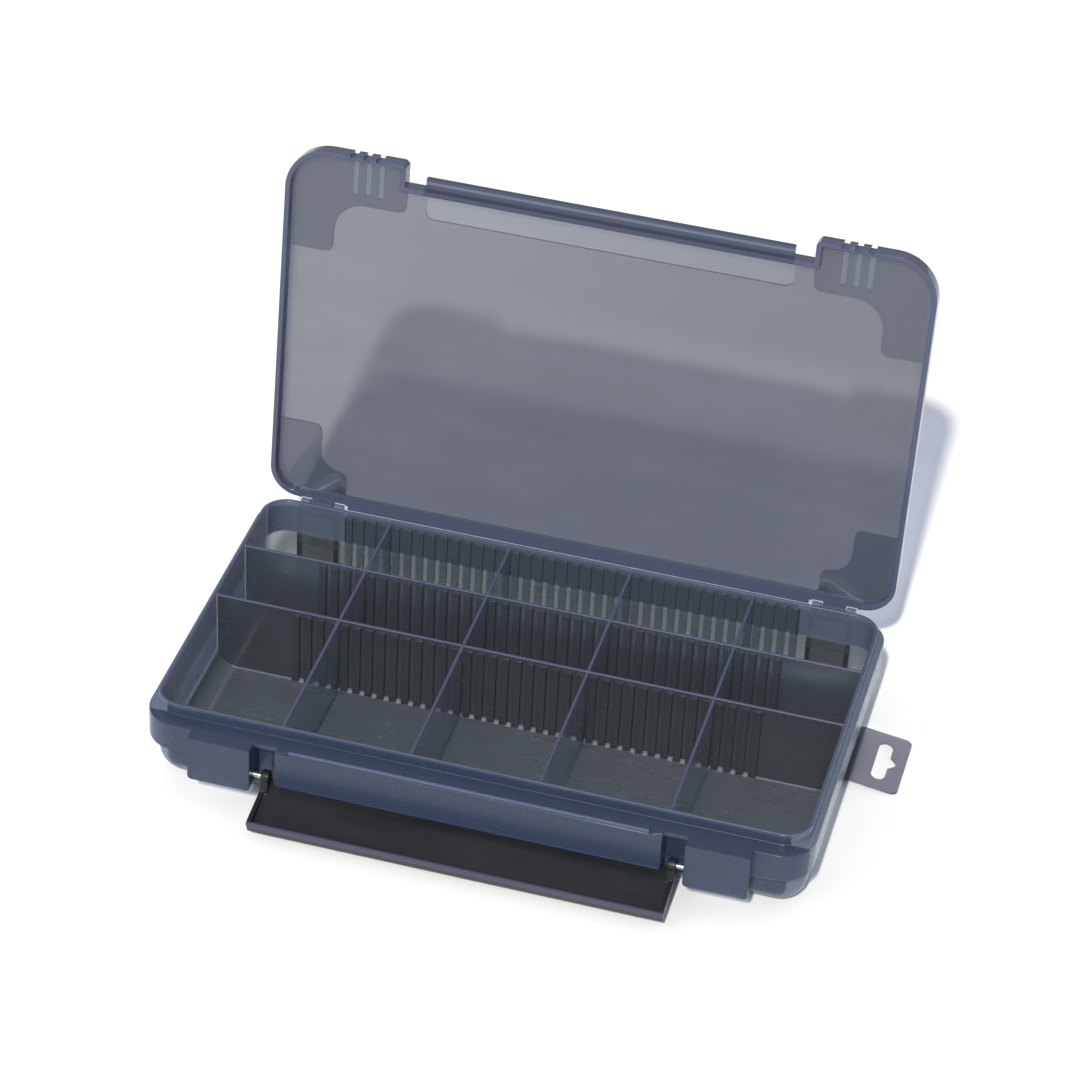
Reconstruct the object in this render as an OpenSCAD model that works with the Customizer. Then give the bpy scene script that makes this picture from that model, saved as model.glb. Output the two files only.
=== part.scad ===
// Flat tackle box with a hinged lid, a wide front latch and loose dividers.
// Units are millimetres. +X runs along the box, +Y to the hinge side, +Z up.
// The origin is at the middle of the tray, on the surface the box stands on.
// The lid and the latch are drawn open, the way the joints rest.

/* [Base tray] */
// length of the inside of the tray
inner_len = 225.6; // [190:0.2:260]
// depth of the inside of the tray, front to rear
inner_dep = 122; // [108:0.5:150]
// thickness of the outer walls
wall_t = 1.4; // [1:0.1:2.4]
// thickness of the floor
floor_t = 1.4; // [1:0.1:3]
// radius of the inside corners, seen from above
corner_in = 8; // [7.9:0.1:12]
// outside radius where the walls round into the floor
bottom_round = 9.2; // [4:0.1:9.3]

/* [Ledge and skirt] */
// height of the ledge that the lid sits on
ledge_top = 28.4; // [24:0.1:40]
// height of the tray's rim above the ledge
rim_up = 4.2; // [2.5:0.1:4.2]
// height of the skirt, from its lower edge to the ledge
skirt_h = 10.9; // [6:0.1:14]
// how far the ledge stands out at the sides
ledge_side = 2.2; // [1.8:0.1:4]
// how far the ledge stands out at the rear
ledge_rear = 2.6; // [2:0.1:4]
// how far the ledge stands out at the front
ledge_front = 5.9; // [5:0.1:8]
// radius of the ledge's front corners, seen from above
ledge_corner_front = 12; // [10:0.5:16]
// radius of the ledge's rear corners, seen from above
ledge_corner_rear = 11; // [9:0.5:14]
// thickness of the skirt and of the ledge
skirt_t = 1.5; // [1:0.1:1.6]

/* [Long walls and slots] */
// clear depth of each of the two rear rows
rear_row = 29.1; // [24:0.05:36]
// thickness of the long walls
long_wall_t = 1.2; // [0.8:0.1:2]
// how far the long walls and the dividers stop below the rim
wall_drop = 0.6; // [0.2:0.1:3]
// distance from one divider slot to the next
slot_pitch = 4.5; // [3.4:0.1:5.4]
// width of one divider slot
slot_w = 1.8; // [1.5:0.1:2.4]
// how far the ribs stand out of the walls
rib_out = 1; // [0.6:0.1:1.5]
// number of slots on each side of the middle one
slots_each_side = 18; // [10:1:20]
// how far the ribs stop below the top of the long walls
rib_drop = 1.2; // [0:0.1:4]

/* [Dividers] */
// thickness of a divider
divider_t = 1.2; // [0.8:0.1:1.4]
// gap between a divider's end and the wall
divider_gap = 0.3; // [0.2:0.05:0.6]
// number of slots from one divider to the next
slots_per_column = 10; // [4:1:12]
// how much rounder a divider's lower corner is than the inside of the tray
divider_ease = 1; // [0.6:0.1:3]

/* [Front blocks and bar] */
// distance from the inside of the side wall to a block's outer end
block_inset = 15.1; // [12:0.1:22]
// length of a front block
block_len = 22.2; // [16:0.1:30]
// how far the blocks stand out in front of the ledge
block_fwd = 4.7; // [3.5:0.1:6]
// height of a block, from its lower face to the ledge
block_h = 17.7; // [15:0.1:20]
// wall thickness of the blocks and the bar
front_t = 1.6; // [1:0.1:2.2]
// thickness of the block wall that holds a latch pin
pin_wall_t = 3.2; // [2:0.1:5]
// radius of a block's lower corners
block_round = 1.5; // [0.5:0.1:3]
// gap between the latch's arm and the bar's end
bar_gap = 2.4; // [1:0.1:4]
// how far the bar stands out in front of the ledge
bar_fwd = 2.9; // [2:0.1:3]
// height of the bar, from its lower edge to the ledge
bar_h = 14.5; // [12:0.1:14.6]
// distance from the bar's end to the ridge's end
ridge_inset = 4.7; // [2:0.1:12]
// how far the ridge is set back from the bar's front face
ridge_back = 0.4; // [0.2:0.1:1]
// thickness of the ridge
ridge_t = 1.2; // [0.8:0.1:2]
// height of the ridge above the ledge
ridge_h = 1; // [0.4:0.1:1.3]

/* [Hinge] */
// how far the hinge line is behind the ledge
hinge_back = 2.2; // [1.6:0.1:2.6]
// how far the hinge line is below the top of the ledge
hinge_drop = 0.6; // [0.2:0.1:1.2]
// radius of the hinge pins and the latch pins
pin_r = 1; // [0.8:0.05:1.3]
// radial gap between a pin and the wall around it
pin_gap = 0.05; // [0.03:0.01:0.1]
// outside radius of the hinge knuckles
knuckle_r = 2.3; // [2:0.1:2.6]
// distance from the inside of the side wall to a hinge's outer end
hinge_inset = 9.3; // [8:0.1:30]
// length of each ear of the base
ear_len = 3.3; // [2:0.1:5]
// height of the web under an ear
ear_web_h = 7; // [4:0.5:10]
// how far the web stands behind the hinge line
ear_web_back = 1.1; // [0.6:0.1:1.8]
// thickness of the bracket's webs below the ears
bracket_t = 1.6; // [1:0.1:2.4]
// height of the bracket's webs, from their lower end to the ledge
bracket_h = 22.4; // [16:0.1:24]
// height of the plate between the webs, from its lower edge to the ledge
bracket_plate_h = 15.4; // [13:0.1:16]
// length of the lid's knuckle
knuckle_len = 8.4; // [5:0.1:14]
// gap between a knuckle and the ears
hinge_gap = 0.4; // [0.3:0.05:1]
// opening angle of the lid, in degrees
lid_open = 97.7; // [90:0.1:108]

/* [Lid] */
// height of the lid, from its rim's lower edge to its top
lid_h = 6; // [6:0.1:9]
// gap between the closed lid's rim and the ledge
seat_gap = 0.1; // [0.05:0.05:0.5]
// how far the lip along the lid's rear stands out between the hinges
lip_out = 1.6; // [0.8:0.1:1.8]
// height of the lip
lip_h = 1.2; // [0.8:0.1:2]
// gap between the lip's end and the hinge
lip_end = 1.5; // [1:0.1:10]
// thickness of the lid's panel
panel_t = 1.4; // [1:0.1:1.4]
// gap between the closed lid's rim and the tray's side walls
rim_gap = 0.3; // [0.3:0.05:0.8]
// gap between the closed lid's notch rim and the tray's front wall
notch_gap = 0.35; // [0.3:0.05:1]
// thickness of the lid's rim along the notch
notch_rim_t = 1.95; // [1.2:0.05:2.4]
// gap between the latch's end and the side of the lid's notch
notch_side_gap = 0.5; // [0.4:0.1:2]
// chamfer on the notch's outer corners
notch_chamfer = 1.2; // [0.5:0.1:2]
// radius of the lid's front corners
lid_corner_front = 16; // [12:0.5:20]
// radius of the lid's rear corners
lid_corner_rear = 11; // [9:0.5:12]
// extra thickness of the four corner pads
pad_t = 0.4; // [0.1:0.05:0.4]
// distance from the lid's side to the inner end of a rear pad's short leg
pad_rear_len = 27.9; // [22:0.1:40]
// width of the rear pads' short leg
pad_rear_w = 11; // [8:0.1:16]
// length of the rear pads' long leg
pad_rear_leg = 28.9; // [22:0.1:36]
// width of the pads' long legs
pad_leg_w = 17.6; // [14:0.1:20]
// width of the front pads' short leg
pad_front_w = 20.3; // [16:0.1:24]
// length of the front pads' long leg
pad_front_leg = 40; // [34:0.1:46]
// radius of the hollow corner of a rear pad
pad_hollow_rear = 8; // [4:0.5:9]
// radius of the hollow corner of a front pad
pad_hollow_front = 11; // [4:0.5:13]
// radius of the pads' outer corners
pad_round = 3; // [1:0.1:4]
// distance from a block's inner end to the end of the thinned strip
strip_end = 9.5; // [6:0.1:20]
// gap between the strip and the rim along the notch
strip_gap = 0.75; // [0.5:0.05:2]
// width of the strip
strip_w = 9.6; // [6:0.1:12]
// depth of the strip
strip_dep = 0.4; // [0.1:0.05:0.6]
// gap between the latch's end wall and the catch bar's end
catch_gap = 5.1; // [1:0.1:8]
// how far the catch bar stands out in front of the notch rim
catch_out = 4.4; // [4:0.1:4.8]
// height of the catch bar's lower face above the ledge
catch_up = 1.7; // [1.6:0.1:2]
// thickness of the catch bar's web
catch_t = 1; // [0.8:0.1:1.2]
// height of the catch bar's raised edge
catch_h = 1.9; // [1.6:0.1:2]
// thickness of the catch bar's raised edge
catch_edge_t = 2; // [1.2:0.1:2.4]
// distance from a block's inner end to the first grip groove
groove_start = 7.2; // [5:0.1:9]
// distance from one grip groove to the next
groove_step = 4.7; // [3:0.1:5]
// width of a grip groove
groove_w = 2; // [1:0.1:2.6]
// depth of a grip groove in the top
groove_dep = 0.6; // [0.2:0.05:0.8]
// depth of a grip groove in the front face
groove_front_dep = 1; // [0.4:0.1:1.4]
// length of a grip groove on the top
groove_len = 16.6; // [10:0.1:18]

/* [Latch] */
// distance from the blocks' front face back to the latch's pivot line
latch_back = 4.6; // [4.4:0.1:4.8]
// how far the latch's pivot line is below the top of the ledge
latch_drop = 13.4; // [13.2:0.1:13.8]
// opening angle of the latch, in degrees
latch_open = 112; // [90:1:130]
// gap between the latch's end and a front block
latch_gap = 3.1; // [1:0.1:4]
// gap between the plate and the base's bar when the latch is closed
plate_gap = 0.5; // [0.5:0.1:0.8]
// thickness of the plate
plate_t = 1.5; // [1:0.1:1.8]
// gap between the hook lip and the top of the catch bar
hook_gap = 0.4; // [0.3:0.05:0.6]
// thickness of the hook lip
hook_t = 1.6; // [1:0.1:2]
// how far the hook lip reaches over the catch bar
hook_over = 0.9; // [0.3:0.1:1]
// distance from the pivot line down to the plate's lower edge
plate_tail = 1; // [0:0.1:1.5]
// length of an arm along the pivot line
arm_len = 2.8; // [2:0.1:4]
// height of an arm's root above the pivot line
arm_root_h = 5; // [4:0.1:7]
// thickness of the latch's end walls
latch_end_t = 1.6; // [1:0.1:2]
// outside radius of an arm's eye
eye_r = 2.4; // [2:0.1:2.6]
// how far a latch pin's ends stay inside the arm and the block's wall
pin_inset = 0.3; // [0.1:0.05:0.8]

/* [Hang tab] */
// thickness of the hang tab
tab_t = 0.45; // [0.3:0.05:0.46]
// y of the middle of the hang tab
tab_y = 22.4; // [0:0.1:30]
// width of the hang tab
tab_w = 30.5; // [22:0.1:40]
// length of the tab that lies under the tray, from the wall's outside
tab_under = 24.2; // [16:0.1:40]
// distance from the wall's outside to the crease
crease_out = 1.6; // [1:0.1:4]
// height of the crease
crease_z = 3; // [2.4:0.1:4]
// distance from the crease to the tab's free end
tab_free = 17.3; // [16:0.1:30]
// radius of the tab's free corners
tab_round = 2.5; // [1:0.1:4]
// distance from the crease to the middle of the hang slot
hang_out = 9.1; // [6:0.1:10]
// distance from the slot's middle to the centre of each round end
hang_half = 7.35; // [5:0.05:8]
// half width of the hang slot
hang_r = 2.45; // [2:0.05:3.5]
// how far the slot's point stands out from its middle line
hang_point = 4.7; // [3.6:0.1:6]
// half width of the slot's point at its foot
hang_point_half = 5.6; // [4:0.1:6]
// depth of the recess in the tray's underside that takes the tab
tab_recess = 0.5; // [0.48:0.02:0.7]
// gap between the tab and the recess's edges
tab_gap = 0.5; // [0.3:0.1:1]

/* [Hidden] */
$fn = 96;
eps = 0.01;
in_x = inner_len / 2;
in_y = inner_dep / 2;
out_x = in_x + wall_t;
out_y = in_y + wall_t;
corner_out = corner_in + wall_t;
round_in = bottom_round - wall_t;
rim_top = ledge_top + rim_up;
divider_top = rim_top - wall_drop;
long_rear = in_y - rear_row - long_wall_t / 2;
long_front = long_rear - rear_row - long_wall_t;
side_x = out_x + ledge_side;
rear_y = out_y + ledge_rear;
front_y = out_y + ledge_front;
skirt_low = ledge_top - skirt_h;
block_out = in_x - block_inset;
block_in = block_out - block_len;
block_front = front_y + block_fwd;
block_low = ledge_top - block_h;
latch_half = block_in - latch_gap;
latch_y = block_front - latch_back;
latch_z = ledge_top - latch_drop;
bar_half = latch_half - arm_len - bar_gap;
bar_front = front_y + bar_fwd;
bar_low = ledge_top - bar_h;
ridge_half = bar_half - ridge_inset;
hinge_y = rear_y + hinge_back;
hinge_z = ledge_top - hinge_drop;
hinge_out = in_x - hinge_inset;
hinge_in = hinge_out - 2 * ear_len - 2 * hinge_gap - knuckle_len;
knuckle_in = hinge_in + ear_len + hinge_gap;
div_low = floor_t;
divider_round = round_in + divider_ease;
rib_half = (slot_pitch - slot_w) / 2;
lid_low = ledge_top + seat_gap;
lid_top = lid_low + lid_h;
panel_low = lid_top - panel_t;
rim_t = ledge_side - rim_gap;
notch_rim_in = out_y + notch_gap;
lid_front = notch_rim_in + notch_rim_t;
notch_half = latch_half + notch_side_gap;
strip_half = block_in - strip_end;
strip_front = notch_rim_in - strip_gap;
strip_y = strip_front - strip_w;
catch_half = latch_half - latch_end_t - catch_gap;
catch_front = lid_front + catch_out;
catch_low = ledge_top + catch_up;
catch_top = catch_low + catch_h;
groove_in = block_in + groove_start;
plate_off = bar_front - latch_y + plate_gap;
latch_reach = catch_top + hook_gap + hook_t - latch_z;
hook_off = catch_front - latch_y - hook_over;
latch_pin_in = latch_half - arm_len + pin_inset;
latch_pin_end = block_in + pin_wall_t - pin_inset;
bore_r = pin_r + pin_gap;
tab_start = out_x - tab_under;
tab_crease = out_x + crease_out;
tab_end = tab_crease + tab_free;
hang_x = tab_crease + hang_out;
big = 400;

// a box given by its low and high corners
module span(lo, hi) {
    translate(lo)
        cube(hi - lo);
}

// a flat outline with its own front and rear corner radii
module outline(hx, y0, y1, rf, rr) {
    union() {
        translate([-hx + rf, y0])
            square([2 * hx - 2 * rf, y1 - y0 - rr]);
        translate([-hx, y0 + rf])
            square([2 * hx, y1 - y0 - rf - rr]);
        translate([-hx + rr, y1 - rr - eps])
            square([2 * hx - 2 * rr, rr + eps]);
        for (s = [-1, 1]) {
            translate([s * (hx - rf), y0 + rf])
                circle(r = rf);
            translate([s * (hx - rr), y1 - rr])
                circle(r = rr);
        }
    }
}

// a straight block with that outline
module slab(hx, y0, y1, rf, rr, z0, z1) {
    translate([0, 0, z0])
        linear_extrude(height = z1 - z0)
            outline(hx, y0, y1, rf, rr);
}

// the section of a wall edge: a square with one lower corner rounded
module edge_section(w, h, r) {
    union() {
        square([w - r, h]);
        translate([0, r])
            square([w, h - r]);
        intersection() {
            translate([w - r, r])
                circle(r = r);
            translate([w - r, 0])
                square([r, r]);
        }
    }
}

// a body with round vertical corners of radius rc and a round lower edge of radius re
module round_tub(hx, hy, rc, re, z0, z1) {
    h = z1 - z0;
    translate([0, 0, z0])
        union() {
            span([-hx + rc, -hy + rc, 0], [hx - rc, hy - rc, h]);
            for (s = [-1, 1]) {
                translate([s * (hx - rc), 0, 0])
                    rotate([90, 0, s > 0 ? 0 : 180])
                        translate([0, 0, -hy + rc])
                            linear_extrude(height = 2 * hy - 2 * rc)
                                edge_section(rc, h, re);
                translate([0, s * (hy - rc), 0])
                    rotate([90, 0, s * 90])
                        translate([0, 0, -hx + rc])
                            linear_extrude(height = 2 * hx - 2 * rc)
                                edge_section(rc, h, re);
            }
            for (sx = [-1, 1], sy = [-1, 1]) {
                translate([sx * (hx - rc), sy * (hy - rc), 0])
                    rotate_extrude()
                        edge_section(rc, h, re);
            }
        }
}

// a front piece seen from the front, with rounded lower corners
module front_piece(x0, x1, y0, y1, z0, z1, r) {
    translate([0, y1, 0])
        rotate([90, 0, 0])
            linear_extrude(height = y1 - y0)
                union() {
                    translate([x0 + r, z0])
                        square([x1 - x0 - 2 * r, z1 - z0]);
                    translate([x0, z0 + r])
                        square([x1 - x0, z1 - z0 - r]);
                    translate([x0 + r, z0 + r])
                        circle(r = r);
                    translate([x1 - r, z0 + r])
                        circle(r = r);
                }
}

// a round bar along X
module x_rod(x0, x1, y, z, r) {
    translate([x0, y, z])
        rotate([0, 90, 0])
            cylinder(r = r, h = x1 - x0);
}

// the ribs on one wall face: y is the face, way is +1 or -1 into the compartment
module rib_row(y, way) {
    y_far = y + way * rib_out;
    lo = min(y - way * 0.2, y_far);
    hi = max(y - way * 0.2, y_far);
    for (k = [-slots_each_side - 1 : slots_each_side]) {
        x = (k + 0.5) * slot_pitch;
        span([x - rib_half, lo, floor_t / 2], [x + rib_half, hi, divider_top - rib_drop]);
    }
}

// the ears of one rear hinge and the bracket under them, on the +X side
module hinge_ears() {
    for (x = [hinge_in, hinge_out - bracket_t])
        span([x, in_y, ledge_top - bracket_h], [x + bracket_t, rear_y, ledge_top - eps]);
    span([hinge_in, rear_y - skirt_t, ledge_top - bracket_plate_h],
        [hinge_out, rear_y, ledge_top - eps]);
    for (x = [hinge_in, hinge_out - ear_len]) {
        x_rod(x, x + ear_len, hinge_y, hinge_z, knuckle_r);
        span([x, rear_y - skirt_t, hinge_z - ear_web_h], [x + ear_len, hinge_y + ear_web_back, hinge_z]);
    }
}

module base_outside() {
    difference() {
        slab(side_x, -front_y, rear_y, ledge_corner_front, ledge_corner_rear,
            skirt_low, ledge_top);
        slab(side_x - skirt_t, -front_y + skirt_t, rear_y - skirt_t,
            ledge_corner_front - skirt_t, ledge_corner_rear - skirt_t,
            skirt_low - 1, ledge_top - skirt_t);
    }
    for (s = [-1, 1]) {
        front_piece(s > 0 ? block_in : -block_out, s > 0 ? block_out : -block_in,
            -block_front, -in_y - wall_t / 2, block_low, ledge_top, block_round);
    }
    front_piece(-bar_half, bar_half, -bar_front, -in_y - wall_t / 2, bar_low, ledge_top, 0.4);
    span([-ridge_half, -bar_front + ridge_back, ledge_top - eps],
        [ridge_half, -bar_front + ridge_back + ridge_t, ledge_top + ridge_h]);
}

module front_hollows() {
    for (s = [-1, 1]) {
        lo = s > 0 ? block_in + pin_wall_t : -block_out + front_t;
        hi = s > 0 ? block_out - front_t : -block_in - pin_wall_t;
        span([lo, -block_front + front_t, 0],
            [hi, -out_y, ledge_top - front_t]);
        notch_lo = s > 0 ? bar_half : -block_in;
        notch_hi = s > 0 ? block_in : -bar_half;
        span([notch_lo, -block_front - 1, 0],
            [notch_hi, -out_y, ledge_top - front_t]);
    }
    span([-bar_half + front_t, -bar_front + front_t, 0],
        [bar_half - front_t, -out_y, ledge_top - front_t]);
}

module hinge_cuts() {
    x_rod(knuckle_in - hinge_gap, knuckle_in + knuckle_len + hinge_gap,
        hinge_y, hinge_z, knuckle_r + hinge_gap);
    x_rod(hinge_in - 1, hinge_out + 1, hinge_y, hinge_z, bore_r);
}

module base() {
    color([0.30, 0.34, 0.46, 0.75])
        union() {
            difference() {
                union() {
                    difference() {
                        base_outside();
                        front_hollows();
                    }
                    for (s = [0, 1])
                        mirror([s, 0, 0])
                            hinge_ears();
                    round_tub(out_x, out_y, corner_out, bottom_round, 0, rim_top);
                }
                round_tub(in_x, in_y, corner_in, round_in, floor_t, rim_top + 1);
                for (s = [0, 1])
                    mirror([s, 0, 0])
                        hinge_cuts();
                for (s = [0, 1])
                    mirror([s, 0, 0])
                        x_rod(block_in - 1, block_in + pin_wall_t + 1, -latch_y, latch_z, bore_r);
                span([tab_start - tab_gap, tab_y - tab_w / 2 - tab_gap, -1],
                    [out_x, tab_y + tab_w / 2 + tab_gap, tab_recess]);
            }
            intersection() {
                round_tub(in_x + wall_t / 2, in_y + wall_t / 2,
                    corner_in + wall_t / 2, round_in + wall_t / 2, floor_t / 2, divider_top);
                union() {
                    for (y = [long_front, long_rear])
                        span([-in_x - wall_t / 2, y - long_wall_t / 2, floor_t / 2],
                            [in_x + wall_t / 2, y + long_wall_t / 2, divider_top]);
                    rib_row(-in_y, 1);
                    for (y = [long_front, long_rear], way = [-1, 1])
                        rib_row(y + way * long_wall_t / 2, way);
                    rib_row(in_y, -1);
                }
            }
        }
}

// the flat shape of the lid, with the opening for the latch between the blocks
module lid_outline(inset) {
    difference() {
        outline(side_x - inset, -block_front + inset, rear_y - inset,
            lid_corner_front - inset, lid_corner_rear - inset);
        translate([-notch_half - inset, -big])
            square([2 * notch_half + 2 * inset, big - lid_front + (inset > 0 ? notch_rim_t : 0)]);
        if (inset == 0)
            for (s = [-1, 1])
                translate([s * notch_half, -block_front])
                    rotate(45)
                        square(sqrt(2) * notch_chamfer, center = true);
    }
}

// one corner pad on the +X side: legs meet at a hollow corner
module pad_shape(x_in, x_leg, y_leg, y_end, y_far, way, r_hollow) {
    // the short leg runs to the far edge, the long leg runs along the side
    difference() {
        union() {
            translate([x_in, min(y_leg, y_far)])
                square([big, abs(y_far - y_leg)]);
            translate([x_leg, min(y_end, y_far)])
                square([big, abs(y_far - y_end)]);
            translate([x_leg - r_hollow, way > 0 ? y_leg - r_hollow : y_leg])
                square([r_hollow, r_hollow]);
        }
        translate([x_leg - r_hollow, y_leg - way * r_hollow])
            circle(r = r_hollow);
        pad_corner(x_in, y_leg, way);
        pad_corner(x_leg, y_end, way);
    }
}

// the bit outside a rounded corner
module pad_corner(x, y, way) {
    difference() {
        translate([x - 1, way > 0 ? y - 1 : y - pad_round])
            square([pad_round + 1, pad_round + 1]);
        translate([x + pad_round, y + way * pad_round])
            circle(r = pad_round);
    }
}

// the thinned strip behind the catch bar
module strip_shape() {
    union() {
        translate([-strip_half + pad_round, -strip_front])
            square([2 * strip_half - 2 * pad_round, strip_front - strip_y]);
        translate([-strip_half, -strip_front])
            square([2 * strip_half, strip_front - strip_y - pad_round]);
        for (s = [-1, 1])
            translate([s * (strip_half - pad_round), -strip_y - pad_round])
                circle(r = pad_round);
    }
}

module lid_closed() {
    difference() {
        union() {
            difference() {
                translate([0, 0, lid_low])
                    linear_extrude(height = lid_h)
                        lid_outline(0);
                translate([0, 0, ledge_top - 1])
                    linear_extrude(height = panel_low - ledge_top + 1)
                        lid_outline(rim_t);
            }
            translate([0, 0, panel_low - pad_t])
                linear_extrude(height = pad_t + eps)
                    intersection() {
                        lid_outline(rim_t - 0.2);
                        union() {
                            for (s = [0, 1])
                                mirror([s, 0]) {
                                    pad_shape(side_x - pad_rear_len, side_x - pad_leg_w,
                                        rear_y - pad_rear_w, rear_y - pad_rear_leg,
                                        rear_y, 1, pad_hollow_rear);
                                    pad_shape(notch_half, side_x - pad_leg_w,
                                        pad_front_w - block_front, pad_front_leg - block_front,
                                        -block_front, -1, pad_hollow_front);
                                }
                        }
                    }
            span([lip_end - hinge_in, rear_y - rim_t, lid_low],
                [hinge_in - lip_end, rear_y + lip_out, lid_low + lip_h]);
            span([-catch_half, -catch_front, catch_low],
                [catch_half, -lid_front + 0.5, catch_low + catch_t]);
            span([-catch_half, -catch_front, catch_low],
                [catch_half, -catch_front + catch_edge_t, catch_top]);
            for (s = [0, 1])
                mirror([s, 0, 0])
                    span([catch_half - front_t, -catch_front, catch_low],
                        [catch_half, -lid_front + 0.5, catch_top]);
        }
        translate([0, 0, panel_low - 1])
            linear_extrude(height = 1 + strip_dep)
                strip_shape();
        for (s = [0, 1])
            mirror([s, 0, 0]) {
                x_rod(hinge_in - hinge_gap, hinge_out + hinge_gap,
                    hinge_y, hinge_z, knuckle_r + hinge_gap);
                for (k = [0 : 2]) {
                    x = groove_in + k * groove_step;
                    span([x - groove_w / 2, -block_front - 1, lid_top - groove_dep],
                        [x + groove_w / 2, groove_len - block_front, lid_top + 1]);
                    span([x - groove_w / 2, -block_front - 1, ledge_top - 1],
                        [x + groove_w / 2, -block_front + groove_front_dep, lid_top + 1]);
                }
            }
    }
    for (s = [0, 1])
        mirror([s, 0, 0])
            difference() {
                union() {
                    x_rod(knuckle_in, knuckle_in + knuckle_len, hinge_y, hinge_z, knuckle_r);
                    span([knuckle_in, rear_y - rim_t, lid_low],
                        [knuckle_in + knuckle_len, hinge_y, hinge_z + knuckle_r]);
                    span([knuckle_in, rear_y - rim_t, lid_low],
                        [knuckle_in + knuckle_len, rear_y - eps, lid_top - 0.5]);
                }
                x_rod(hinge_in, hinge_out, hinge_y, hinge_z, bore_r);
            }
}

module lid() {
    color([0.42, 0.44, 0.52, 0.55])
        translate([0, hinge_y, hinge_z])
            rotate([-lid_open, 0, 0])
                translate([0, -hinge_y, -hinge_z])
                    lid_closed();
}

// the side shape of an end wall with its arm, seen along X, pivot at the origin
module latch_end_shape() {
    union() {
        circle(r = eye_r);
        polygon([[-plate_off - plate_t, -plate_tail], [-plate_off - plate_t, arm_root_h],
            [-plate_off, arm_root_h], [0, eye_r], [0, -eye_r + 0.2]]);
    }
}

module latch_gusset_shape() {
    polygon([[-plate_off - plate_t, 0], [-plate_off - plate_t, latch_reach],
        [-hook_off, latch_reach], [-hook_off, latch_reach - hook_t], [-plate_off + 0.2, 2.5]]);
}

// the latch closed, with its pivot line on the X axis
module latch_closed() {
    difference() {
        union() {
            span([-latch_half, -plate_off - plate_t, -plate_tail],
                [latch_half, -plate_off, latch_reach]);
            span([-latch_half, -plate_off - plate_t, latch_reach - hook_t],
                [latch_half, -hook_off, latch_reach]);
            for (s = [-1, 1]) {
                translate([s > 0 ? latch_half - arm_len : -latch_half, 0, 0])
                    rotate([90, 0, 90])
                        linear_extrude(height = arm_len)
                            latch_end_shape();
                translate([s > 0 ? latch_half - latch_end_t : -latch_half, 0, 0])
                    rotate([90, 0, 90])
                        linear_extrude(height = latch_end_t)
                            latch_gusset_shape();
            }
        }
        x_rod(-latch_half - 1, latch_half + 1, 0, 0, bore_r);
    }
}

module latch() {
    color([0.19, 0.20, 0.24, 0.95])
        translate([0, -latch_y, latch_z])
            rotate([latch_open, 0, 0])
                latch_closed();
}

module latch_pin(s) {
    color([0.78, 0.79, 0.80])
        mirror([s > 0 ? 0 : 1, 0, 0])
            x_rod(latch_pin_in, latch_pin_end, -latch_y, latch_z, pin_r);
}

module latch_pin_left() {
    latch_pin(-1);
}

module latch_pin_right() {
    latch_pin(1);
}

module hinge_pin(s) {
    color([0.78, 0.79, 0.80])
        mirror([s > 0 ? 0 : 1, 0, 0])
            x_rod(hinge_in, hinge_out, hinge_y, hinge_z, pin_r);
}

module hinge_pin_left() {
    hinge_pin(-1);
}

module hinge_pin_right() {
    hinge_pin(1);
}

// a divider between two faces; round_at is -1, 0 or 1 for the end that meets an outer wall
module divider(k, y0, y1, round_at) {
    x = k * slots_per_column * slot_pitch;
    lo = y0 + divider_gap;
    hi = y1 - divider_gap;
    r = divider_round;
    color([0.40, 0.45, 0.56, 0.75])
        translate([x - divider_t / 2, 0, 0])
            rotate([90, 0, 90])
                linear_extrude(height = divider_t)
                    if (round_at == 0) {
                        translate([lo, div_low])
                            square([hi - lo, divider_top - div_low]);
                    } else {
                        union() {
                            translate([round_at > 0 ? lo : lo + r, div_low])
                                square([hi - lo - r, divider_top - div_low]);
                            translate([lo, div_low + r])
                                square([hi - lo, divider_top - div_low - r]);
                            translate([round_at > 0 ? hi - r : lo + r, div_low + r])
                                circle(r = r);
                        }
                    }
}

module divider_rear(k) {
    divider(k, long_rear + long_wall_t / 2, in_y, 1);
}

module divider_middle(k) {
    divider(k, long_front + long_wall_t / 2, long_rear - long_wall_t / 2, 0);
}

module divider_front(k) {
    divider(k, -in_y, long_front - long_wall_t / 2, -1);
}

module divider_rear_1() {
    divider_rear(-1.5);
}

module divider_rear_2() {
    divider_rear(-0.5);
}

module divider_rear_3() {
    divider_rear(0.5);
}

module divider_rear_4() {
    divider_rear(1.5);
}

module divider_middle_1() {
    divider_middle(-1.5);
}

module divider_middle_2() {
    divider_middle(-0.5);
}

module divider_middle_3() {
    divider_middle(0.5);
}

module divider_middle_4() {
    divider_middle(1.5);
}

module divider_front_1() {
    divider_front(-1.5);
}

module divider_front_2() {
    divider_front(-0.5);
}

module divider_front_3() {
    divider_front(0.5);
}

module divider_front_4() {
    divider_front(1.5);
}

// the tab's side shape: flat under the tray, up to the crease, then down to its free end
module tab_bend() {
    z0 = tab_recess;
    bend = out_x - bottom_round + 3.4;
    rise = bend + 3;
    polygon([[tab_start, z0], [bend, z0], [rise, z0 + 1.5], [tab_crease, crease_z],
        [tab_end, tab_t + 0.1], [tab_end, 0.1], [tab_crease, crease_z - tab_t],
        [rise, z0 + 1.5 - tab_t], [bend, z0 - tab_t], [tab_start, z0 - tab_t]]);
}

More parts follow.
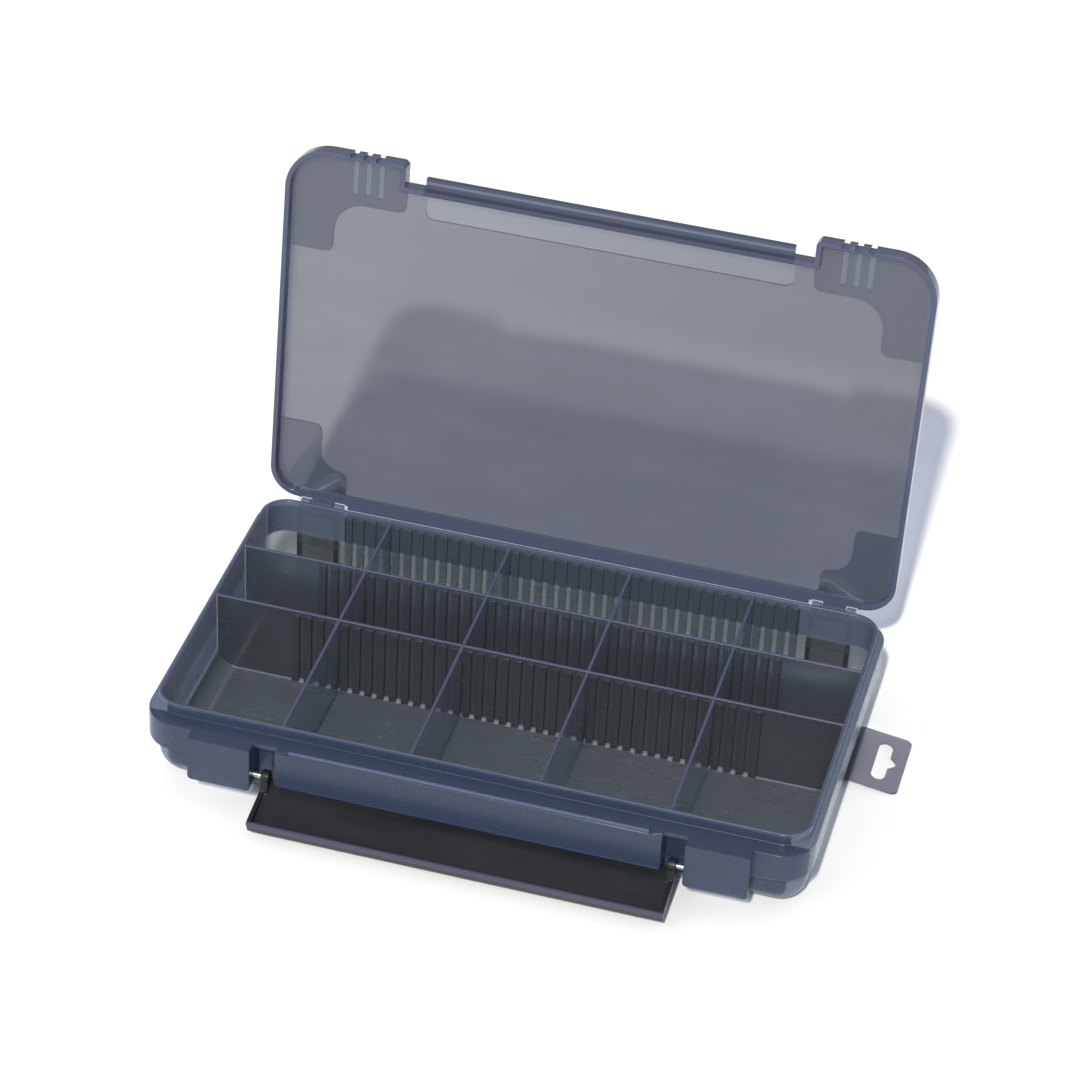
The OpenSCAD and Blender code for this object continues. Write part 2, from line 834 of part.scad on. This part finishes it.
module tab_outline() {
    lo = tab_y - tab_w / 2;
    difference() {
        union() {
            translate([tab_start - 1, lo])
                square([tab_end - tab_start + 1 - tab_round, tab_w]);
            translate([tab_start - 1, lo + tab_round])
                square([tab_end - tab_start + 1, tab_w - 2 * tab_round]);
            for (y = [lo + tab_round, lo + tab_w - tab_round])
                translate([tab_end - tab_round, y])
                    circle(r = tab_round);
        }
        translate([hang_x - hang_r, tab_y - hang_half])
            square([2 * hang_r, 2 * hang_half]);
        for (s = [-1, 1])
            translate([hang_x, tab_y + s * hang_half])
                circle(r = hang_r);
        polygon([[hang_x, tab_y + hang_point_half], [hang_x + hang_point, tab_y + 0.8],
            [hang_x + hang_point, tab_y - 0.8], [hang_x, tab_y - hang_point_half]]);
    }
}

module hang_tab() {
    color([0.60, 0.60, 0.64, 0.6])
        intersection() {
            translate([0, tab_y + tab_w / 2 + 1, 0])
                rotate([90, 0, 0])
                    linear_extrude(height = tab_w + 2)
                        tab_bend();
            translate([0, 0, -5])
                linear_extrude(height = ledge_top)
                    tab_outline();
        }
}

base();
lid();
latch();
latch_pin_left();
latch_pin_right();
hinge_pin_left();
hinge_pin_right();
divider_rear_1();
divider_rear_2();
divider_rear_3();
divider_rear_4();
divider_middle_1();
divider_middle_2();
divider_middle_3();
divider_middle_4();
divider_front_1();
divider_front_2();
divider_front_3();
divider_front_4();
hang_tab();
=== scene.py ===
"""Looks of a flat compartment box: smoke-blue frosted plastic, a dark latch, steel pins and a
clear film tab. Places and sizes are in millimetres of the part's frame, unless a comment says
metres."""
import math
import bmesh
import bpy
from mathutils import Matrix, Vector


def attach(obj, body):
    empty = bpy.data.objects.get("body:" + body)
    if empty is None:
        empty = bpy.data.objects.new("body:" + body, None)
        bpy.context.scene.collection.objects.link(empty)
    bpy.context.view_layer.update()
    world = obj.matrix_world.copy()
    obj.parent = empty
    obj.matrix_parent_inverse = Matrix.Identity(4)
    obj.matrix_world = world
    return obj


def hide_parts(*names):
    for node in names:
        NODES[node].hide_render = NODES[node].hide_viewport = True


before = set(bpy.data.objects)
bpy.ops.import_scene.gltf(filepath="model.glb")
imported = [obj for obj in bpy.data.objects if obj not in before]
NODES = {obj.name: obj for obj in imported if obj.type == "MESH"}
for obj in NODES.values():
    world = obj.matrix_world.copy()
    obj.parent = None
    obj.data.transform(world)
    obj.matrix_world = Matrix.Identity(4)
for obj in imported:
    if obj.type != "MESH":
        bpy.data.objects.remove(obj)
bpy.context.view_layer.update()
SCENE = bpy.context.scene
MM = 0.001  # metres in a millimetre

# places and sizes shared with the part
LID_AXIS = (67.2, 27.8)  # y and z of the lid's hinge
LID_OPEN = 97.7  # degrees from the closed lid to the stored pose
LID_TOP, PAD_Z = 34.5, 32.7  # the closed lid's top, and the inner face of its corner pads
FLOOR_TOP, LEDGE_TOP, RIDGE_TOP, WALL_TOP, RIM_TOP = 1.4, 28.4, 29.4, 32.0, 32.6  # of the tray
IN_X, IN_Y, IN_CORNER = 112.8, 61.0, 8.0  # the tray's inner outline
LONG_FRONT, LONG_REAR = 1.0, 31.3  # middle planes of the two long walls
PITCH, SLOT_HALF = 4.5, 0.9  # of the divider slots
SLOTS_END, RIBS_END = 81.9, 84.6  # either side of the middle
HINGE_IN, HINGE_OUT = 87.7, 103.5  # a hinge bracket's ends, either side of the middle
BRACKET_Y = (63.5, 65.0)  # the faces of its plate

# finishes, and painted light and shade
PLASTIC_IOR = 1.45
# painted highlight: a paler colour for top edges, standing for the light they gather
EDGE_HIGHLIGHT = (0.125, 0.16, 0.26)  # top edges that gather light
# painted light and shade: below these heights the rear wall is painted clear, above them dark,
# where the skirt's shadow lies behind it
REAR_FADE = (18.4, 19.8)  # z where the rear wall's clear lower part ends


# ---------------------------------------------------------------- materials
class Tree:
    """Short ways to add and join shader nodes. Masks are 0 to 1. Shader coordinates are in
    metres, and rise, fall and band take their limits in millimetres."""

    def __init__(self, name):
        self.mat = bpy.data.materials.new(name)
        self.mat.use_nodes = True
        self.nt = self.mat.node_tree
        self.nt.nodes.clear()
        self.out = self.nt.nodes.new("ShaderNodeOutputMaterial")
        self.bsdf = self.nt.nodes.new("ShaderNodeBsdfPrincipled")
        self.nt.links.new(self.bsdf.outputs[0], self.out.inputs[0])
        self.coord = self.nt.nodes.new("ShaderNodeTexCoord").outputs["Object"]

    def node(self, kind, **values):
        n = self.nt.nodes.new(kind)
        for k, v in values.items():
            setattr(n, k, v)
        return n

    def feed(self, socket, v):
        """Gives a socket a number, a colour or another node's output."""
        if isinstance(v, (int, float)):
            socket.default_value = v
        elif isinstance(v, tuple):
            socket.default_value = (*v, 1.0)
        else:
            self.nt.links.new(v, socket)

    def put(self, **values):
        """Feeds the main shader's inputs; Base_Color stands for Base Color."""
        for k, v in values.items():
            self.feed(self.bsdf.inputs[k.replace("_", " ")], v)

    def stretched(self, scale):
        n = self.node("ShaderNodeMapping")
        n.inputs["Scale"].default_value = scale
        self.feed(n.inputs["Vector"], self.coord)
        return n.outputs[0]

    def turned(self, centre, angle):
        """The place turned about an axis along x; centre is in metres, angle in radians."""
        n = self.node("ShaderNodeVectorRotate", rotation_type="X_AXIS")
        n.inputs["Center"].default_value = centre
        n.inputs["Angle"].default_value = angle
        self.feed(n.inputs["Vector"], self.coord)
        return n.outputs[0]

    def split(self, vector):
        n = self.node("ShaderNodeSeparateXYZ")
        self.feed(n.inputs[0], vector)
        return n.outputs

    def noise(self, vector, scale, detail, rough=0.55):
        n = self.node("ShaderNodeTexNoise")
        n.inputs["Scale"].default_value = scale
        n.inputs["Detail"].default_value = detail
        n.inputs["Roughness"].default_value = rough
        self.feed(n.inputs["Vector"], vector)
        return n.outputs["Fac"]

    def math(self, op, a, b=None):
        n = self.node("ShaderNodeMath", operation=op)
        self.feed(n.inputs[0], a)
        if b is not None:
            self.feed(n.inputs[1], b)
        return n.outputs[0]

    def times(self, first, *others):
        for other in others:
            first = self.math("MULTIPLY", first, other)
        return first

    def ramp(self, value, lo, hi, a=0.0, b=1.0):
        """Goes smoothly from a at lo to b at hi, in the value's own unit."""
        n = self.node("ShaderNodeMapRange", interpolation_type="SMOOTHSTEP")
        n.inputs["From Min"].default_value = lo
        n.inputs["From Max"].default_value = hi
        n.inputs["To Min"].default_value = a
        n.inputs["To Max"].default_value = b
        self.feed(n.inputs["Value"], value)
        return n.outputs[0]

    def rise(self, value, lo, hi):
        """0 below lo, 1 above hi."""
        return self.ramp(value, lo * MM, hi * MM)

    def fall(self, value, lo, hi):
        """1 below lo, 0 above hi."""
        return self.ramp(value, lo * MM, hi * MM, 1.0, 0.0)

    def band(self, value, lo, hi, soft=0.06):
        """1 between lo and hi, 0 outside, with soft ends."""
        return self.times(self.rise(value, lo - soft, lo + soft),
                          self.fall(value, hi - soft, hi + soft))

    def between(self, kind, sockets, out, values):
        """A mix node; which sockets take the mask, a and b depends on its kind."""
        n = self.node("ShaderNodeMix", data_type=kind)
        for i, v in zip(sockets, values):
            self.feed(n.inputs[i], v)
        return n.outputs[out]

    def mix(self, mask, a, b):
        """A colour between a and b."""
        return self.between("RGBA", (0, 6, 7), 2, (mask, a, b))

    def blend(self, mask, a, b):
        """A number between a and b."""
        return self.between("FLOAT", (0, 2, 3), 0, (mask, a, b))

    def bump(self, height, distance, strength, below=None):
        """Distance is in metres; below is the bump that this one lies on."""
        n = self.node("ShaderNodeBump")
        n.inputs["Distance"].default_value = distance
        n.inputs["Strength"].default_value = strength
        self.feed(n.inputs["Height"], height)
        if below is not None:
            self.feed(n.inputs["Normal"], below)
        return n.outputs[0]

    def lets_lamps_through(self, tint):
        """Shadow rays pass with a tint, so the floor and the walls behind are lit."""
        path = self.node("ShaderNodeLightPath")
        clear = self.node("ShaderNodeBsdfTransparent")
        self.feed(clear.inputs["Color"], tint)
        both = self.node("ShaderNodeMixShader")
        self.feed(both.inputs[0], path.outputs["Is Shadow Ray"])
        self.feed(both.inputs[1], self.bsdf.outputs[0])
        self.feed(both.inputs[2], clear.outputs[0])
        self.feed(self.out.inputs["Surface"], both.outputs[0])


def frost(t, grain):
    """Moulded plastic: fine frosting, faint flow lines, slow sink waves and scuffs.
    Returns the tone, what to add to the roughness, and the normal."""
    fine = t.noise(t.coord, 3200.0, 2.0)
    flow_lines = t.noise(t.stretched((2.0, 9.0, 9.0)), 14.0, 4.0, 0.6)
    waves = t.noise(t.coord, 26.0, 2.0, 0.4)
    scuffs = t.noise(t.stretched((160.0, 1100.0, 420.0)), 1.0, 5.0, 0.7)
    normal = t.bump(waves, 0.0006, 0.10)
    normal = t.bump(fine, 0.000006, grain, normal)
    rough = t.math("ADD", t.ramp(flow_lines, 0.35, 0.7, -0.02, 0.04),
                   t.ramp(scuffs, 0.58, 0.78, 0.0, 0.06))
    tone = t.math("ADD", t.times(flow_lines, 0.6), t.times(waves, 0.4))
    return tone, rough, normal


def smoke(name, dark, light, sigma, rough, through, spec=0.5, grain=0.3, regions=None,
          lamps=(0.88, 0.90, 0.94)):
    """Smoke plastic: light passes through it, and the thicker it is the less comes out.
    The colour lies between dark and light, sigma is the absorption per metre in red, green and
    blue, through is the transmission, and lamps is what a surface lets through of the lamps.
    regions(t) lists (mask, colour, transmission) for places that look different."""
    t = Tree(name)
    tone, more_rough, normal = frost(t, grain)
    colour = t.mix(t.ramp(tone, 0.38, 0.62), dark, light)
    for mask, other, clear in regions(t) if regions else ():
        colour = t.mix(mask, colour, other)
        through = t.blend(mask, through, clear)
    t.put(Transmission_Weight=through, Specular_IOR_Level=spec, IOR=PLASTIC_IOR)
    inside = t.node("ShaderNodeVolumeAbsorption")
    density = max(sigma) * 1.25
    inside.inputs["Density"].default_value = density
    t.feed(inside.inputs["Color"], tuple(1 - v / density for v in sigma))
    t.feed(t.out.inputs["Volume"], inside.outputs[0])
    t.lets_lamps_through(lamps)
    t.put(Base_Color=colour, Roughness=t.math("ADD", more_rough, rough), Normal=normal)
    return t.mat


def lid_regions(t):
    """The plate deepens in tone toward its right front corner, the corner pads look darker, the
    rim and the catch bar are deeper still, and the rim's inner fillet fades into the plate. A
    thin paler line runs along the catch bar. All in the closed lid's place."""
    closed = t.turned((0, LID_AXIS[0] * MM, LID_AXIS[1] * MM), math.radians(LID_OPEN))
    x, y, z = t.split(closed)
    side = t.math("ABSOLUTE", x)
    deep = t.times(t.rise(x, -95, 85), t.fall(y, -32, -14))
    pads = t.band(z, PAD_Z - 0.08, PAD_Z + 0.15, 0.04)
    fillet = t.math("MAXIMUM", t.rise(side, 111.0, 115.6), t.rise(y, 62.6, 66.4))
    rim = t.fall(z, PAD_Z - 0.20, PAD_Z - 0.12)
    bar = t.times(t.fall(side, 66.0, 66.2), t.fall(y, -62.6, -62.4), rim)
    line = t.times(bar, t.band(y, -67.8, -66.9, 0.2))
    return ((deep, (0.49, 0.525, 0.61), 0.93),
            (pads, (0.29, 0.34, 0.48), 0.90),
            (t.times(fillet, 0.8), (0.30, 0.34, 0.52), 0.75),
            (rim, (0.13, 0.155, 0.25), 0.5),
            (bar, (0.085, 0.105, 0.175), 0.5),
            (line, (0.22, 0.25, 0.35), 0.55))


def beyond(t, x, y):
    """How far a point lies outside the tray's rounded inner outline, in metres; below 0 inside."""
    out = [t.math("MAXIMUM", t.math("SUBTRACT", v, (size - IN_CORNER) * MM), 0.0)
           for v, size in ((x, IN_X), (y, IN_Y))]
    squares = [t.times(v, v) for v in out]
    return t.math("SUBTRACT", t.math("SQRT", t.math("ADD", *squares)), IN_CORNER * MM)


def tray_regions(t):
    """Light and shade painted on the one moulding. The long walls are painted darker than the
    floor, as painted shade. The outer walls are a painted milky blue sheen, palest on the end
    walls' inner sides, painted light where light comes through them, and deepest in front. The
    rear wall is painted clear at the bottom, most of all in its slots, and its ribbed upper part
    is painted dark, the shade of the skirt's shadow behind it. Top edges get a painted highlight
    for the light they gather, and the foot of the front long wall a painted highlight, most of all
    in its slots."""
    x, y, z = t.split(t.coord)
    side = t.math("ABSOLUTE", x)
    out = beyond(t, side, t.math("ABSOLUTE", y))

    off_floor = t.rise(z, FLOOR_TOP + 0.1, FLOOR_TOP + 1.1)
    # painted shade: the long walls get a darker colour than the floor
    front_long_wall = t.times(off_floor, t.band(y, LONG_FRONT - 1.8, LONG_FRONT + 1.8))
    rear_long_wall = t.times(off_floor, t.band(y, LONG_REAR - 2.1, LONG_REAR + 1.8))
    # painted sheen and light: the outer walls' milky blue, palest on the end walls' inner sides,
    # deepest on the front
    inner = t.rise(out, -0.4, -0.1)
    end_wall = t.times(t.rise(side, IN_X - 0.5, IN_X - 0.2), inner)
    outside = t.rise(out, 0.6, 0.9)
    front = t.times(outside, t.fall(y, -IN_Y - 0.8, -IN_Y - 0.4))

    # painted light and shade: the rear wall is painted clear below REAR_FADE, and its ribbed upper
    # inner face is painted dark above it
    near_rear = t.rise(y, IN_Y - 7.0, IN_Y - 3.0)
    low = t.times(near_rear, t.fall(z, *REAR_FADE))
    clear_wall = t.times(low, t.rise(out, -1.3, -1.1), t.fall(out, 1.6, 1.8))
    # painted light: the hinge brackets' plates below that height are painted clear too
    bracket = t.times(t.band(y, BRACKET_Y[0] - 0.3, BRACKET_Y[1] + 0.2),
                      t.band(side, HINGE_IN, HINGE_OUT), low)

    slots = t.fall(t.math("PINGPONG", x, PITCH * MM / 2), SLOT_HALF - 0.1, SLOT_HALF + 0.05)
    slots = t.times(slots, t.fall(side, SLOTS_END + 0.1, SLOTS_END + 0.3))
    ribbed = t.times(t.fall(side, RIBS_END - 0.6, RIBS_END - 0.4), near_rear)
    ribs = t.times(ribbed, t.math("SUBTRACT", 1.0, slots))
    shaded_high_inner = t.times(t.rise(z, *REAR_FADE), t.fall(out, 0.3, 0.6))

    # painted highlights: the top edges, the bar's ridge, and the foot of the front long wall with
    # its slots
    top_edge_highlight = t.math("MAXIMUM", t.band(z, WALL_TOP - 0.3, WALL_TOP + 0.04),
                  t.rise(z, RIM_TOP - 0.28, RIM_TOP - 0.1))
    ridge = t.times(t.band(z, RIDGE_TOP - 0.3, RIDGE_TOP + 0.1), t.fall(y, -69.2, -69.0))
    foot = t.times(t.band(z, FLOOR_TOP - 0.1, FLOOR_TOP + 0.35),
                   t.band(y, LONG_FRONT - 1.5, LONG_FRONT - 0.5))
    slot_foot_highlight = t.times(slots, t.band(z, FLOOR_TOP - 0.1, FLOOR_TOP + 1.0),
                         t.band(y, LONG_FRONT - 1.9, LONG_FRONT - 0.4))
    # painted light, shade, sheen and highlights on the one plastic, region by region
    return ((front_long_wall, (0.35, 0.40, 0.465), 0.91),
            (rear_long_wall, (0.39, 0.45, 0.545), 0.91),
            (inner, (0.30, 0.37, 0.51), 0.76),
            (end_wall, (0.58, 0.64, 0.84), 0.56),
            (outside, (0.44, 0.54, 0.74), 0.76),
            (front, (0.128, 0.182, 0.33), 0.78),
            (clear_wall, (0.94, 0.99, 1.0), 0.98),
            (t.times(clear_wall, ribs), (0.63, 0.75, 0.81), 0.95),
            (t.times(shaded_high_inner, ribbed), (0.20, 0.24, 0.30), 0.77),
            (bracket, (0.82, 0.90, 0.95), 0.97),
            (top_edge_highlight, EDGE_HIGHLIGHT, 0.5),
            (ridge, (0.17, 0.22, 0.36), 0.5),
            (foot, (0.25, 0.30, 0.38), 0.6),
            (slot_foot_highlight, (0.30, 0.35, 0.41), 0.5))


def divider_regions(t):
    """The top edge gets a painted highlight, for the light it gathers."""
    z = t.split(t.coord)[2]
    return ((t.rise(z, WALL_TOP - 0.6, WALL_TOP - 0.4), EDGE_HIGHLIGHT, 0.5),)


def latch_regions(t):
    """A painted highlight: the hook lip, the hanging latch's front end, is painted paler and
    slightly purple.
    """
    y = t.split(t.coord)[1]
    return ((t.fall(y, -85.4, -85.0), (0.045, 0.045, 0.085), 0.1),)


def steel_material():
    t = Tree("bright_steel")
    fine = t.noise(t.stretched((60.0, 2600.0, 2600.0)), 3.0, 3.0)
    t.put(Metallic=1.0,
          Base_Color=t.mix(fine, (0.42, 0.43, 0.45), (0.58, 0.58, 0.60)),
          Roughness=t.ramp(fine, 0.3, 0.7, 0.28, 0.42),
          Normal=t.bump(fine, 0.00002, 0.5))
    return t.mat


def floor_material():
    t = Tree("pale_floor")
    fine = t.noise(t.coord, 90.0, 3.0)
    t.put(Base_Color=t.mix(fine, (0.90, 0.90, 0.90), (0.93, 0.93, 0.93)),
          Roughness=0.8,
          Normal=t.bump(fine, 0.0001, 0.2))
    return t.mat


MAT_BASE = smoke("smoke_tray", (0.405, 0.46, 0.535), (0.455, 0.51, 0.585), (640, 640, 640),
                 rough=0.24, through=0.955, spec=0.3, grain=0.01, regions=tray_regions,
                 lamps=(0.91, 0.93, 0.96))
MAT_LID = smoke("smoke_lid", (0.59, 0.63, 0.72), (0.63, 0.67, 0.76), (730, 750, 780),
                rough=0.09, through=0.93, spec=0.35, grain=0.1, regions=lid_regions,
                lamps=(0.60, 0.65, 0.94))
MAT_LATCH = smoke("dark_latch", (0.012, 0.013, 0.015), (0.018, 0.019, 0.022), (2600, 2600, 2500),
                  rough=0.36, through=0.10, spec=0.35, grain=0.15, regions=latch_regions)
MAT_DIVIDER = smoke("smoke_divider", (0.68, 0.76, 0.90), (0.73, 0.81, 0.95), (150, 150, 160),
                    rough=0.04, through=0.90, grain=0.05, regions=divider_regions,
                    lamps=(0.95, 0.96, 0.98))
MAT_TAB = smoke("clear_film", (0.26, 0.26, 0.30), (0.30, 0.30, 0.34), (300, 300, 280),
                rough=0.12, through=0.85, grain=0.1)
MAT_STEEL = steel_material()


# ---------------------------------------------------------------- pieces
JOIN = 3e-6  # points nearer than this are one point, in metres
SHARP = math.radians(28)  # edges flatter than this aren't rounded
FLAT = math.radians(1)  # faces that turn less than this from one to the next can be merged
UNDERSIDE = 0.6  # the tray's edges below this height stay sharp
GRIP_X, GRIP_REAR, STRIP_FRONT = 110, -50, -64.5  # around the lid's strip and grip grooves
NOTCH_SPARE, NOTCH_FRONT, NOTCH_TOP = 2, 62, 33  # around the lid's notches for the hinges
PANEL_Y, PANEL_Z = (63.7, 64.9), (6.1, 12.9)  # a hinge panel, a little inside its bracket
PANEL_INSET = 0.3  # from the bracket's ends to the panel's ends, which lie in the webs


def add_object(name, data):
    ob = bpy.data.objects.new(name, data)
    SCENE.collection.objects.link(ob)
    return ob


def add_mesh(name, bm, material):
    mesh = bpy.data.meshes.new(name)
    bm.to_mesh(mesh)
    bm.free()
    mesh.materials.append(material)
    return add_object(name, mesh)


def softened(name, node, body, material, width, share, segments=2, merge=False):
    """A copy of a CAD node's surface with its moulded edges rounded. share(a, b) gives how much
    of the width the edge from a to b is rounded by."""
    bm = bmesh.new()
    bm.from_mesh(NODES[node].data)
    bmesh.ops.remove_doubles(bm, verts=bm.verts, dist=JOIN)
    if merge:
        bmesh.ops.dissolve_limit(bm, angle_limit=FLAT, verts=bm.verts, edges=bm.edges)
    weights = bm.edges.layers.float
    layer = weights.get("bevel_weight_edge") or weights.new("bevel_weight_edge")
    for f in bm.faces:
        f.smooth = True
        f.material_index = 0
    for e in bm.edges:
        e.smooth = True
        if len(e.link_faces) != 2 or e.calc_face_angle(0.0) < SHARP:
            continue
        w = share(e.verts[0].co / MM, e.verts[1].co / MM)
        e[layer] = w
        e.smooth = w > 0
    ob = add_mesh(name, bm, material)
    soften = ob.modifiers.new("soften", "BEVEL")
    soften.limit_method = "WEIGHT"
    soften.width = width * MM
    soften.segments = segments
    soften.use_clamp_overlap = False
    soften.miter_outer = "MITER_SHARP"
    flat = ob.modifiers.new("flat_faces", "WEIGHTED_NORMAL")
    flat.mode = "FACE_AREA"
    flat.weight = 100
    flat.keep_sharp = True
    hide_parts(node)
    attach(ob, body)


def whole(a, b):
    return 1.0


def at_height(a, b, z, tol=0.02):
    return abs(a[2] - z) < tol and abs(b[2] - z) < tol


def base_share(a, b):
    """The rim's edges are rounded most, and the underside's not at all."""
    if at_height(a, b, RIM_TOP):
        return 1.0
    if at_height(a, b, WALL_TOP) or at_height(a, b, LEDGE_TOP):
        return 0.8
    return 0.0 if min(a[2], b[2]) < UNDERSIDE else 0.45


def closed_lid(p):
    """A point of the open lid, in the closed lid's place."""
    a = math.radians(LID_OPEN)
    y, z = p[1] - LID_AXIS[0], p[2] - LID_AXIS[1]
    return (p[0], LID_AXIS[0] + y * math.cos(a) - z * math.sin(a),
            LID_AXIS[1] + y * math.sin(a) + z * math.cos(a))


def lid_share(a, b):
    """The top's outline is rounded most, and shallow forms such as the strip, the grip grooves
    and the pads hardly. The corners beside the hinges stay sharp, because the closed lid has
    little room there."""
    a, b = closed_lid(a), closed_lid(b)
    slight = 0.12
    if at_height(a, b, LID_TOP, 0.05):
        strip = any(abs(p[0]) < GRIP_X and STRIP_FRONT < p[1] < GRIP_REAR for p in (a, b))
        groove = (abs(a[0] - b[0]) < 0.01 and abs(a[0]) < GRIP_X
                  and min(a[1], b[1]) < GRIP_REAR)
        return slight if strip or groove else 0.7
    if all(HINGE_IN - NOTCH_SPARE < abs(p[0]) < HINGE_OUT + NOTCH_SPARE
           and p[1] > NOTCH_FRONT and p[2] < NOTCH_TOP for p in (a, b)):
        return 0.0
    return slight if min(a[2], b[2]) > PAD_Z - 0.1 else 0.3


def panel(name, lo, hi):
    """A plain moulded panel of the tray between two corners, with rounded edges."""
    bm = bmesh.new()
    bmesh.ops.create_cube(bm, size=1.0)
    for v in bm.verts:
        v.co = [(lo[i] + hi[i]) / 2 * MM + v.co[i] * (hi[i] - lo[i]) * MM for i in range(3)]
    bmesh.ops.bevel(bm, geom=bm.edges, offset=0.15 * MM, segments=2, affect="EDGES", profile=0.5)
    ob = add_mesh(name, bm, MAT_BASE)
    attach(ob, "tray")


softened("tray_shell", "base", "tray", MAT_BASE, 0.45, base_share)
softened("lid_shell", "lid", "lid", MAT_LID, 1.0, lid_share)
softened("latch_shell", "latch", "latch", MAT_LATCH, 0.35, whole)
for row in ("rear", "middle", "front"):
    for k in (1, 2, 3, 4):
        divider = f"divider_{row}_{k}"
        softened(f"divider_plate_{row}_{k}", divider, divider, MAT_DIVIDER, 0.3, whole,
                 merge=True)
softened("hang_film", "hang_tab", "tray", MAT_TAB, 0.1, whole, segments=1)
for pin in ("latch_pin_left", "latch_pin_right", "hinge_pin_left", "hinge_pin_right"):
    softened("steel_" + pin, pin, "tray", MAT_STEEL, 0.2, whole)

# the foot of each hinge bracket is closed between its webs
for way, end in ((-1, "left"), (1, "right")):
    x0, x1 = sorted((way * HINGE_IN, way * HINGE_OUT))
    panel("hinge_panel_" + end, (x0 + PANEL_INSET, PANEL_Y[0], PANEL_Z[0]),
          (x1 - PANEL_INSET, PANEL_Y[1], PANEL_Z[1]))


# ---------------------------------------------------------------- stage, in metres
CAMERA_PLACE = Matrix((  # fitted to the photograph; columns are right, up, back and place
    (0.9624878, -0.19447272, 0.18920255, 0.246853),
    (0.26772348, 0.56746707, -0.77865607, -1.002996),
    (0.04406114, 0.80010092, 0.59824504, 0.85518),
    (0, 0, 0, 1)))


def add_lamp(name, kind, energy, aim):
    """A lamp whose light travels along aim."""
    ob = add_object(name, bpy.data.lights.new(name, kind))
    ob.data.energy = energy
    ob.rotation_euler = Vector(aim).to_track_quat("-Z", "Y").to_euler()
    return ob


def stage():
    """A pale floor just under the part, an even pale sky, a soft sun from the front, a weak fill
    from the left, and a camera at the photograph's viewing angle."""
    bm = bmesh.new()
    bmesh.ops.create_grid(bm, x_segments=4, y_segments=4, size=6.0)
    floor = add_mesh("floor", bm, floor_material())
    floor.location = (0, 0, -0.0002)

    world = bpy.data.worlds.new("studio")
    SCENE.world = world
    world.use_nodes = True
    sky = world.node_tree.nodes["Background"]
    sky.inputs["Color"].default_value = (0.83, 0.88, 1.0, 1.0)
    sky.inputs["Strength"].default_value = 0.54

    key = add_lamp("key", "SUN", 3.15, (-0.05, 1.45, -1.52))
    key.data.color = (1.0, 0.975, 0.92)
    key.data.angle = math.radians(2.2)
    fill = add_lamp("fill", "AREA", 7.0, (1.2, 1.4, -1.15))
    fill.data.shape = "DISK"
    fill.data.size = 1.4
    fill.location = (-1.2, -1.4, 1.2)

    cam = add_object("camera", bpy.data.cameras.new("camera"))
    cam.data.sensor_fit = "HORIZONTAL"
    cam.data.sensor_width = 36.0
    cam.data.lens = 127.072
    cam.data.clip_start = 0.05
    cam.data.clip_end = 30.0
    cam.matrix_world = CAMERA_PLACE
    SCENE.camera = cam
    SCENE.view_settings.view_transform = "Standard"


stage()
